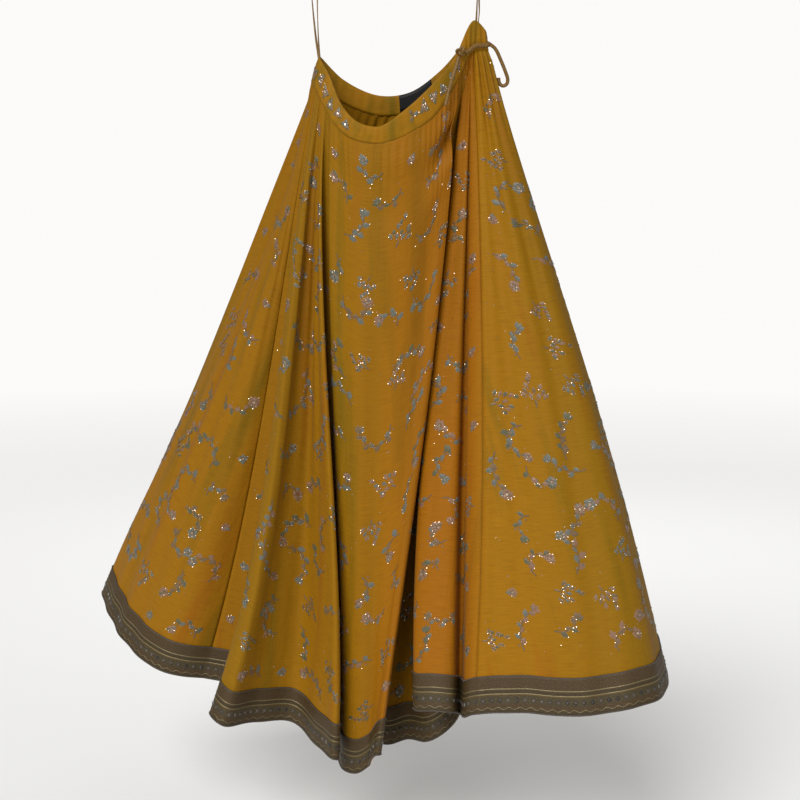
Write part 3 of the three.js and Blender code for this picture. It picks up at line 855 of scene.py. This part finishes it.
border = new_piece(
    "hem_border_ribbon",
    border_grid.reshape(-1, 3),
    grid_faces(len(border_columns), len(border_shares)),
    [zari],
    border_uv,
)
thicken(border, BORDER_THICKNESS)
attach(border, "root")
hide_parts("hem_border")

# The raised threads of the border: its corded edges, its silver lines and its waving wire.
WAVE_LENGTH = 0.016
WAVE_HEIGHT_SHARE = 0.87
WAVE_SWING = 0.03
# share of the border's height, half width, and 1 where the thread is dark
CORD_LINES = [(0.012, 0.0012, 1), (0.985, 0.0013, 1), (0.36, 0.0006, 0), (0.49, 0.0006, 0)]
silver_thread, silver_shader = new_material("silver_thread", (0.20, 0.165, 0.085), 0.45, metallic=0.6)
dark_thread, dark_shader = new_material("dark_thread", (0.045, 0.032, 0.02), 0.6, sheen=0.2)
for plain, plain_shader in ((silver_thread, silver_shader), (dark_thread, dark_shader)):
    add_grain(plain, plain_shader, (700, 700, 700), 2, strength=0.7)


def on_border(along, share, off):
    """Places on the border, by metres along it and share of its height down from its top edge."""
    column = np.interp(along, border_along, np.arange(len(border_along)))
    left = np.minimum(column.astype(int), len(border_along) - 2)
    part = (column - left)[:, None]
    row = np.asarray(share, float) * (len(border_shares) - 1)
    upper = np.minimum(row.astype(int), len(border_shares) - 2)
    down_part = (row - upper)[:, None]

    def blend(grid):
        top = grid[upper, left] * (1 - part) + grid[upper, left + 1] * part
        low = grid[upper + 1, left] * (1 - part) + grid[upper + 1, left + 1] * part
        return top * (1 - down_part) + low * down_part

    facing = blend(border_facing)
    facing /= np.linalg.norm(facing, axis=1, keepdims=True)
    return blend(border_grid) + facing * np.asarray(off, float).reshape(-1, 1), facing


thread_vertices, thread_faces, thread_slots = [], [], []


def add_thread(along, share, half_width, slot):
    """A low ridge of thread laid along the border."""
    first = len(thread_vertices)
    height_share = half_width / (BORDER_HEIGHT / 1000)
    base = BORDER_THICKNESS / 2
    for aside, rise in ((-1, 0), (0, 0.8), (1, 0)):
        places, _ = on_border(along, np.clip(share + aside * height_share, 0, 1), base + rise * half_width)
        thread_vertices.extend(places.tolist())
    count = len(along)
    for lane in range(2):
        for i in range(count - 1):
            a = first + lane * count + i
            thread_faces.append((a, a + count, a + count + 1, a + 1))
            thread_slots.append(slot)


for share, half_width, slot in CORD_LINES:
    add_thread(border_along, np.full(len(border_along), share), half_width, slot)
wave_spots = np.linspace(0, border_along[-1], 1500)
wave_shares = WAVE_HEIGHT_SHARE + WAVE_SWING * np.sin(2 * math.pi * wave_spots / WAVE_LENGTH)
add_thread(wave_spots, wave_shares, 0.0004, 0)
threads_piece = new_piece(
    "hem_border_threads", thread_vertices, thread_faces, [silver_thread, dark_thread], slots=thread_slots
)
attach(threads_piece, "root")

# The border's beads: small dark diamonds in a row, 12.5 mm apart, each stitched flat on the ribbon.
BEAD_PITCH = 0.0125
BEAD_HALF_WIDTH = 0.0037
BEAD_HEIGHT_SHARE = 0.66
bead_glass, bead_shader = new_material("bead_dark", (0.028, 0.022, 0.02), 0.42)
BEAD_STOPS = [(0.4, (0.02, 0.016, 0.014)), (0.6, (0.09, 0.07, 0.055))]
add_grain(bead_glass, bead_shader, (60, 60, 60), 1, BEAD_STOPS)
bead_count = int(border_along[-1] / BEAD_PITCH)
bead_spots = (np.arange(bead_count) + 0.5) * border_along[-1] / bead_count
bead_places, bead_facing = on_border(bead_spots, np.full(bead_count, BEAD_HEIGHT_SHARE), BORDER_THICKNESS / 2)
seats = new_piece("hem_border_beads", bead_places, [], [bead_glass])
seats.data.attributes.new("facing", "FLOAT_VECTOR", "POINT").data.foreach_set("vector", bead_facing.ravel())

bead_tree = bpy.data.node_groups.new("beads_in_a_row", "GeometryNodeTree")
bead_tree.interface.new_socket("Geometry", in_out="INPUT", socket_type="NodeSocketGeometry")
width_socket = bead_tree.interface.new_socket(
    "Bead half width", in_out="INPUT", socket_type="NodeSocketFloat"
)
bead_tree.interface.new_socket("Geometry", in_out="OUTPUT", socket_type="NodeSocketGeometry")
tree_in = bead_tree.nodes.new("NodeGroupInput")
tree_out = bead_tree.nodes.new("NodeGroupOutput")
bead_shape = bead_tree.nodes.new("GeometryNodeMeshUVSphere")
bead_shape.inputs["Segments"].default_value = 4
bead_shape.inputs["Rings"].default_value = 4
bead_shape.inputs["Radius"].default_value = 1.0
bead_squash = bead_tree.nodes.new("GeometryNodeTransform")
bead_squash.inputs["Scale"].default_value = (1, 1, 0.45)
bead_face = bead_tree.nodes.new("GeometryNodeInputNamedAttribute")
bead_face.data_type = "FLOAT_VECTOR"
bead_face.inputs["Name"].default_value = "facing"
bead_turn = bead_tree.nodes.new("FunctionNodeAlignRotationToVector")
bead_turn.axis = "Z"
bead_set = bead_tree.nodes.new("GeometryNodeInstanceOnPoints")
bead_real = bead_tree.nodes.new("GeometryNodeRealizeInstances")
bead_coat = bead_tree.nodes.new("GeometryNodeSetMaterial")
bead_coat.inputs["Material"].default_value = bead_glass
for output, entry in [
    (tree_in.outputs["Geometry"], bead_set.inputs["Points"]),
    (bead_shape.outputs["Mesh"], bead_squash.inputs["Geometry"]),
    (bead_squash.outputs["Geometry"], bead_set.inputs["Instance"]),
    (bead_face.outputs["Attribute"], bead_turn.inputs["Vector"]),
    (bead_turn.outputs["Rotation"], bead_set.inputs["Rotation"]),
    (tree_in.outputs["Bead half width"], bead_set.inputs["Scale"]),
    (bead_set.outputs["Instances"], bead_real.inputs["Geometry"]),
    (bead_real.outputs["Geometry"], bead_coat.inputs["Geometry"]),
    (bead_coat.outputs["Geometry"], tree_out.inputs["Geometry"]),
]:
    bead_tree.links.new(output, entry)
bead_maker = seats.modifiers.new("beads", "NODES")
bead_maker.node_group = bead_tree
bead_maker[width_socket.identifier] = BEAD_HALF_WIDTH
evaluated = seats.evaluated_get(bpy.context.evaluated_depsgraph_get())
bead_mesh = bpy.data.meshes.new_from_object(evaluated)
seats.modifiers.clear()
seats.data = bead_mesh
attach(seats, "root")

# The waistband: two halves of doubled silk that make the drawstring's channel, each sewn to the gores
# along its lower edge. It puckers where the drawstring draws it up, most of all at the right end.
BAND_THICKNESS = 0.0024
RIGHT_END = 9.0
band_top = waist_at(band_top_points, column_stations) / 1000
band_foot = seam_ring
band_section = [(-1, -0.03), (-1, 0.12), (-1.25, 0.35), (-1.2, 0.65), (-0.9, 0.9), (-0.45, 0.985)]
band_section += [(0.45, 0.985), (0.9, 0.9), (1.3, 0.65), (1.35, 0.35), (1, 0.12), (1, -0.03)]
band_round = np.roll(band_foot, -1, 0) - np.roll(band_foot, 1, 0)
band_facing = np.cross(band_foot - band_top, band_round)
band_facing /= np.linalg.norm(band_facing, axis=1, keepdims=True)
pucker_phase = 2 * math.pi * (3.1 * column_stations + 0.4 * np.sin(1.7 * column_stations))
pucker = 0.0004 + 0.0006 * bump_of((column_stations - 8.4) / 1.2)
pucker += 0.0004 * bump_of((column_stations - 3.4) / 0.8)
band_silk, band_shader = new_material("band_silk", SILK_GOLD, 0.6, sheen=0.03)
band_shader.inputs["Specular IOR Level"].default_value = 0.14
band_uv = add_node(band_silk, "ShaderNodeTexCoord").outputs["UV"]
band_slubs = add_noise(band_silk, band_uv, (40, 620, 1), 4)
band_patches = add_noise(band_silk, band_uv, (34, 12, 1), 3)
BAND_STOPS = [(0.3, SILK_OLIVE), (0.55, SILK_GOLD), (0.75, (0.285, 0.120, 0.002))]
band_base = add_ramp(band_silk, band_patches.outputs["Fac"], BAND_STOPS)
band_tones = add_ramp(band_silk, band_slubs.outputs["Fac"], SLUB_STOPS)
link(band_silk, multiply(band_silk, band_base, band_tones), band_shader.inputs["Base Color"])
add_bump(band_silk, band_shader, band_slubs.outputs["Fac"], 0.45, 0.0007)


def close_tube_faces(count_round, count_along):
    """Quads of a closed section carried along, and the two faces that shut its ends."""
    faces = []
    for i in range(count_along - 1):
        for j in range(count_round):
            k = (j + 1) % count_round
            here, ahead = i * count_round, (i + 1) * count_round
            faces.append((here + j, here + k, ahead + k, ahead + j))
    faces.append(tuple(range(count_round - 1, -1, -1)))
    faces.append(tuple((count_along - 1) * count_round + j for j in range(count_round)))
    return faces


def face_outwards(piece):
    """Turn a closed mesh's faces out, once its doubled places are merged."""
    shape = bmesh.new()
    shape.from_mesh(piece.data)
    bmesh.ops.remove_doubles(shape, verts=shape.verts, dist=1e-6)
    bmesh.ops.recalc_face_normals(shape, faces=shape.faces)
    shape.to_mesh(piece.data)
    shape.free()


HALVES_APART = 0.02  # stations left clear at each end of a half
for node, first, last in (("waistband_front", 0.0, RIGHT_END), ("waistband_back", RIGHT_END, 16.05)):
    mine = np.nonzero((column_stations >= first + HALVES_APART) & (column_stations <= last - HALVES_APART))[0]
    vertices, uv = [], []
    length = 0.0
    for order, c in enumerate(mine):
        if order:
            length += float(np.linalg.norm(band_foot[c] - band_foot[mine[order - 1]]))
        tall = band_top[c] - band_foot[c]
        end = min(order, len(mine) - 1 - order)
        full = min(1.0, 0.35 + end / 4)
        for side, height in band_section:
            swell = side * BAND_THICKNESS / 2 * full
            wave = pucker[c] * math.sin(pucker_phase[c]) * math.sin(math.pi * min(max(height, 0), 1))
            place = band_foot[c] + tall * height + band_facing[c] * (swell + wave)
            vertices.append(place)
            uv.append((length, height * float(np.linalg.norm(tall))))
    faces = close_tube_faces(len(band_section), len(mine))
    piece = new_piece(node + "_cloth", vertices, faces, [band_silk], uv)
    face_outwards(piece)
    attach(piece, "root")
    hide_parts(node)

# The front band is embroidered at its two ends as the gores are, and left plain in its middle. Each
# bunch has three leaves, and about half of them have a small flower.
BAND_STITCHED = [(0.35, 2.9), (5.3, 7.3)]
BAND_BUNCH_STEP = 0.021
band_rows = np.linspace(1, 0, 6)
front_columns = np.nonzero(column_stations <= RIGHT_END - 0.1)[0]
band_grid = np.array([band_foot[front_columns] * (1 - h) + band_top[front_columns] * h for h in band_rows])
band_grid = band_grid + band_facing[front_columns] * (BAND_THICKNESS * 0.62)
band_steps = np.linalg.norm(np.diff(band_grid, axis=1), axis=2)
band_across = np.concatenate([np.zeros((len(band_rows), 1)), np.cumsum(band_steps, axis=1)], axis=1)
band_across[:] = band_across[3]
band_drop = np.append(0, np.cumsum(np.linalg.norm(np.diff(band_grid, axis=0), axis=2).mean(axis=1)))
band_grid_facing = np.broadcast_to(band_facing[front_columns], band_grid.shape)
cut_grids["waistband_front"] = (band_grid, band_grid_facing, band_across, band_drop)
band_stitching = Stitching()
band_rng = np.random.default_rng(77)
for first, last in BAND_STITCHED:
    ends = np.interp([first, last], column_stations[front_columns], band_across[3])
    for spot in np.arange(ends[0], ends[1], BAND_BUNCH_STEP):
        middle = (float(spot), float(band_drop[-1] * band_rng.uniform(0.4, 0.62)))
        turn = band_rng.uniform(0, 2 * math.pi)
        if band_rng.random() < 0.45:
            band_stitching.flower(middle, 0.0065, turn, int(band_rng.choice([1, 3])))
        for lean in (0, 2.1, 4.0):
            leaf_thread = int(band_rng.choice([0, 1, 2]))
            band_stitching.leaf(middle, turn + lean, 0.0105, 0.0046, leaf_thread, lean == 0)
band_embroidery = new_piece(
    "waistband_front_embroidery",
    on_cut("waistband_front", band_stitching.places, band_stitching.heights),
    band_stitching.faces,
    [*thread_materials, sequin],
    slots=band_stitching.threads,
)
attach(band_embroidery, "root")

# The label: a bare strip of black satin tape, sewn flat inside the back of the band, from the seam
# nearly to the band's top edge.
LABEL_STATIONS = (12.25, 13.35)
LABEL_THICKNESS = 0.0008
label_satin, label_shader = new_material("label_satin", (0.004, 0.005, 0.0045), 0.5)
label_shader.inputs["Specular IOR Level"].default_value = 0.2
LABEL_STOPS = [(0.35, (0.002, 0.0025, 0.0022)), (0.7, (0.008, 0.009, 0.0085))]
add_grain(label_satin, label_shader, (260, 260, 2600), 2, LABEL_STOPS, 0.3, 0.0003)
label_columns = np.nonzero((column_stations >= LABEL_STATIONS[0]) & (column_stations <= LABEL_STATIONS[1]))[0]
label_heights = [0.06, 0.3, 0.55, 0.8, 0.97]
label_off = BAND_THICKNESS * 0.62 + 0.0006
label_foot, label_top = band_foot[label_columns], band_top[label_columns]
label_seat = band_facing[label_columns] * label_off
label_grid = np.array([label_foot * (1 - h) + label_top * h - label_seat for h in label_heights])
label_faces = grid_faces(len(label_columns), len(label_heights))
label = new_piece("label_tape", label_grid.reshape(-1, 3), label_faces, [label_satin])
thicken(label, LABEL_THICKNESS)
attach(label, "root")
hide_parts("label")

# The hanger loops: thin satin ribbon doubled over, rolled narrow by its own twist, both ends sewn
# into a top corner of the band. The skirt hangs by them.
RIBBON_HALF_WIDTH = 0.0017
RIBBON_HALF_DEPTH = 0.0008
SECTION_SIDES = 10
LEFT_LOOP = [
    (-115.5, 17, -122),
    (-116.3, 15, -110),
    (-117.5, 13, -86),
    (-118.5, 12, -50),
    (-119, 12, -14),
    (-120, 12, -5),
    (-123.5, 12, -1.3),
    (-127, 12, -5),
    (-127.5, 12, -14),
    (-125, 14, -50),
    (-121.5, 17, -86),
    (-118.5, 18, -108),
    (-117, 19, -121),
]
RIGHT_LOOP = [
    (119, 0, -76),
    (119.5, 0, -62),
    (120, -1, -50),
    (120.5, -3, -30),
    (120.5, -4.5, -14),
    (121, -4.5, -5),
    (121.5, 0, -1.3),
    (122, 4.5, -5),
    (122.5, 4.5, -14),
    (123.5, 4, -30),
    (124, 3.5, -50),
    (123, 3, -62),
    (122, 3, -76),
]
satin, satin_shader = new_material("satin_ribbon", (0.35, 0.200, 0.065), 0.4, sheen=0.05)
SATIN_STOPS = [(0.3, (0.14, 0.075, 0.020)), (0.7, (0.30, 0.175, 0.060))]
add_grain(satin, satin_shader, (1400, 1400, 120), 2, SATIN_STOPS, 0.4, 0.0003)


def carry_section(route, half_width, half_depth, twist):
    """Vertices of an oval section carried along a route, turning by `twist` radians over its length."""
    way = np.gradient(route, axis=0)
    way /= np.linalg.norm(way, axis=1, keepdims=True)
    side = np.cross(way[0], (0.0, 1.0, 0.001))
    side /= np.linalg.norm(side)
    vertices = []
    for i, (place, ahead) in enumerate(zip(route, way)):
        side = side - ahead * side.dot(ahead)
        side /= np.linalg.norm(side)
        other = np.cross(ahead, side)
        turn = twist * i / (len(route) - 1)
        for k in range(SECTION_SIDES):
            angle = 2 * math.pi * k / SECTION_SIDES
            a, b = half_width * math.cos(angle), half_depth * math.sin(angle)
            vertices.append(
                place
                + side * (a * math.cos(turn) - b * math.sin(turn))
                + other * (a * math.sin(turn) + b * math.cos(turn))
            )
    return vertices


def add_carried(node, name, route, half_width, half_depth, twist, material):
    """A closed piece of an oval section carried along a route, in place of a node."""
    vertices = carry_section(route, half_width, half_depth, twist)
    piece = new_piece(name, vertices, close_tube_faces(SECTION_SIDES, len(route)), [material])
    face_outwards(piece)
    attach(piece, "root")
    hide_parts(node)


for node, loop, twist, stations in (
    ("hanger_loop_left", LEFT_LOOP, 7.0, 150),
    ("hanger_loop_right", RIGHT_LOOP, 5.0, 110),
):
    route = along_curve(np.array(loop, float) / 1000, np.linspace(0, 1, stations))
    add_carried(node, node + "_ribbon", route, RIBBON_HALF_WIDTH, RIBBON_HALF_DEPTH, twist, satin)

# The drawstring's turn round the gathered right end of the band, from its channel at the back to the
# knot at the front that it is tied in with its own end.
WRAP_HALF_WIDTH = 0.0033
WRAP_HALF_DEPTH = 0.0021
WRAP_TWIST = 0.9
WRAP_STATIONS = 90
# station, share of the band's height up from its foot
WRAP = [
    (7.45, 0.42),
    (7.8, 0.17),
    (8.1, 0.13),
    (8.5, 0.15),
    (8.8, 0.22),
    (9.0, 0.29),
    (9.2, 0.32),
    (9.6, 0.30),
    (10.0, 0.32),
    (10.4, 0.40),
]
WRAP_OFF = 4.7  # millimetres off the middle of the band
wrap_route = []
for station, height in WRAP:
    nearby = int(np.argmin(np.abs(column_stations - station)))
    foot_place, top_place = band_foot[nearby] * 1000, band_top[nearby] * 1000
    wrap_route.append(foot_place * (1 - height) + top_place * height + band_facing[nearby] * WRAP_OFF)
route = along_curve(np.array(wrap_route, float) / 1000, np.linspace(0, 1, WRAP_STATIONS))
add_carried(
    "drawstring_wrap", "drawstring_wrap_tie", route, WRAP_HALF_WIDTH, WRAP_HALF_DEPTH, WRAP_TWIST, tie_cloth
)

# The knot: an overhand knot of the same tie, pulled up close against the front of the gathered end,
# leaning with the band.
KNOT_HALF_WIDTH = 0.0023
KNOT_HALF_DEPTH = 0.0019
KNOT_CENTRE = np.array((95, -31, -111)) / 1000
KNOT_SCALE = np.array((2.0, 1.25, 2.6)) / 1000
KNOT_LEAN = -0.5
knot_turns = np.linspace(0, 2 * math.pi, 91)[:-1]
knot_line = np.stack(
    [
        np.sin(knot_turns) + 2 * np.sin(2 * knot_turns),
        -np.sin(3 * knot_turns) * 1.6,
        (np.cos(knot_turns) - 2 * np.cos(2 * knot_turns)) * 0.75,
    ],
    1,
) * KNOT_SCALE
lean_x = knot_line[:, 0] * math.cos(KNOT_LEAN) + knot_line[:, 2] * math.sin(KNOT_LEAN)
lean_z = -knot_line[:, 0] * math.sin(KNOT_LEAN) + knot_line[:, 2] * math.cos(KNOT_LEAN)
knot_line = np.stack([lean_x, knot_line[:, 1], lean_z], 1) + KNOT_CENTRE
knot_line = np.vstack([knot_line, knot_line[:1]])
add_carried(
    "drawstring_knot", "drawstring_knot_tied", knot_line, KNOT_HALF_WIDTH, KNOT_HALF_DEPTH, 0.0, tie_cloth
)

# The room: a plain pale floor below the hem that fades out into a pale surround, one wide window's
# light from the left and two soft lamps. The surround looks brighter than the light it gives.
FLOOR_DROP = 0.16
FLOOR_FADES_FROM = 1.5
FLOOR_GONE_AT = 7.0
SURROUND_LIGHT = 0.34
SURROUND_SEEN = 0.97
WINDOW_POWER = 2.7
WINDOW_WAY = (0.45, 1.0, -0.85)
floor_material, floor_shader = new_material("floor_pale", (0.86, 0.86, 0.85), 0.9)
floor_level = float(cad_box[0][2]) - FLOOR_DROP
FLOOR_HALF = 40.0
floor_object = add_node(floor_material, "ShaderNodeTexCoord").outputs["Object"]
floor_reach = add_node(floor_material, "ShaderNodeVectorMath", {0: floor_object}, operation="LENGTH")
floor_fade = add_node(
    floor_material,
    "ShaderNodeMapRange",
    {"Value": floor_reach.outputs["Value"], "From Min": FLOOR_FADES_FROM, "From Max": FLOOR_GONE_AT},
)
floor_clear = add_node(floor_material, "ShaderNodeBsdfTransparent")
floor_mix = add_node(floor_material, "ShaderNodeMixShader", {"Fac": floor_fade.outputs["Result"]})
link(floor_material, floor_shader.outputs["BSDF"], floor_mix.inputs[1])
link(floor_material, floor_clear.outputs["BSDF"], floor_mix.inputs[2])
floor_output = floor_material.node_tree.nodes["Material Output"]
link(floor_material, floor_mix.outputs["Shader"], floor_output.inputs["Surface"])
corners = [(-1, -1), (1, -1), (1, 1), (-1, 1)]
floor_places = [(x * FLOOR_HALF, y * FLOOR_HALF, floor_level) for x, y in corners]
floor = new_piece("floor", floor_places, [(0, 1, 2, 3)], [floor_material])
world = bpy.data.worlds.new("surround")
world.use_nodes = True
world_nodes, world_links = world.node_tree.nodes, world.node_tree.links
world_nodes["Background"].inputs["Color"].default_value = (1.0, 0.99, 0.975, 1)
world_light = world_nodes.new("ShaderNodeLightPath")
world_strength = world_nodes.new("ShaderNodeMapRange")
world_strength.inputs["To Min"].default_value = SURROUND_LIGHT
world_strength.inputs["To Max"].default_value = SURROUND_SEEN
world_links.new(world_light.outputs["Is Camera Ray"], world_strength.inputs["Value"])
world_links.new(world_strength.outputs["Result"], world_nodes["Background"].inputs["Strength"])
scene.world = world
sun = bpy.data.lights.new("window", "SUN")
sun.energy = WINDOW_POWER
sun.angle = math.radians(35)
sun_light = bpy.data.objects.new("window", sun)
sun_light.rotation_euler = Vector(WINDOW_WAY).to_track_quat("-Z", "Y").to_euler()
scene.collection.objects.link(sun_light)
LIGHTS = [
    ("fill", (1.8, -2.4, 0.0), 1.6, 9),
    ("back", (0.3, 2.6, 0.9), 2.2, 22),
]
for name, place, size, power in LIGHTS:
    lamp = bpy.data.lights.new(name, "AREA")
    lamp.size = size
    lamp.energy = power
    light = bpy.data.objects.new(name, lamp)
    light.location = place
    aim = np.array((0.0, 0.05, -0.65)) - np.array(place)
    light.rotation_euler = Vector(aim).to_track_quat("-Z", "Y").to_euler()
    scene.collection.objects.link(light)
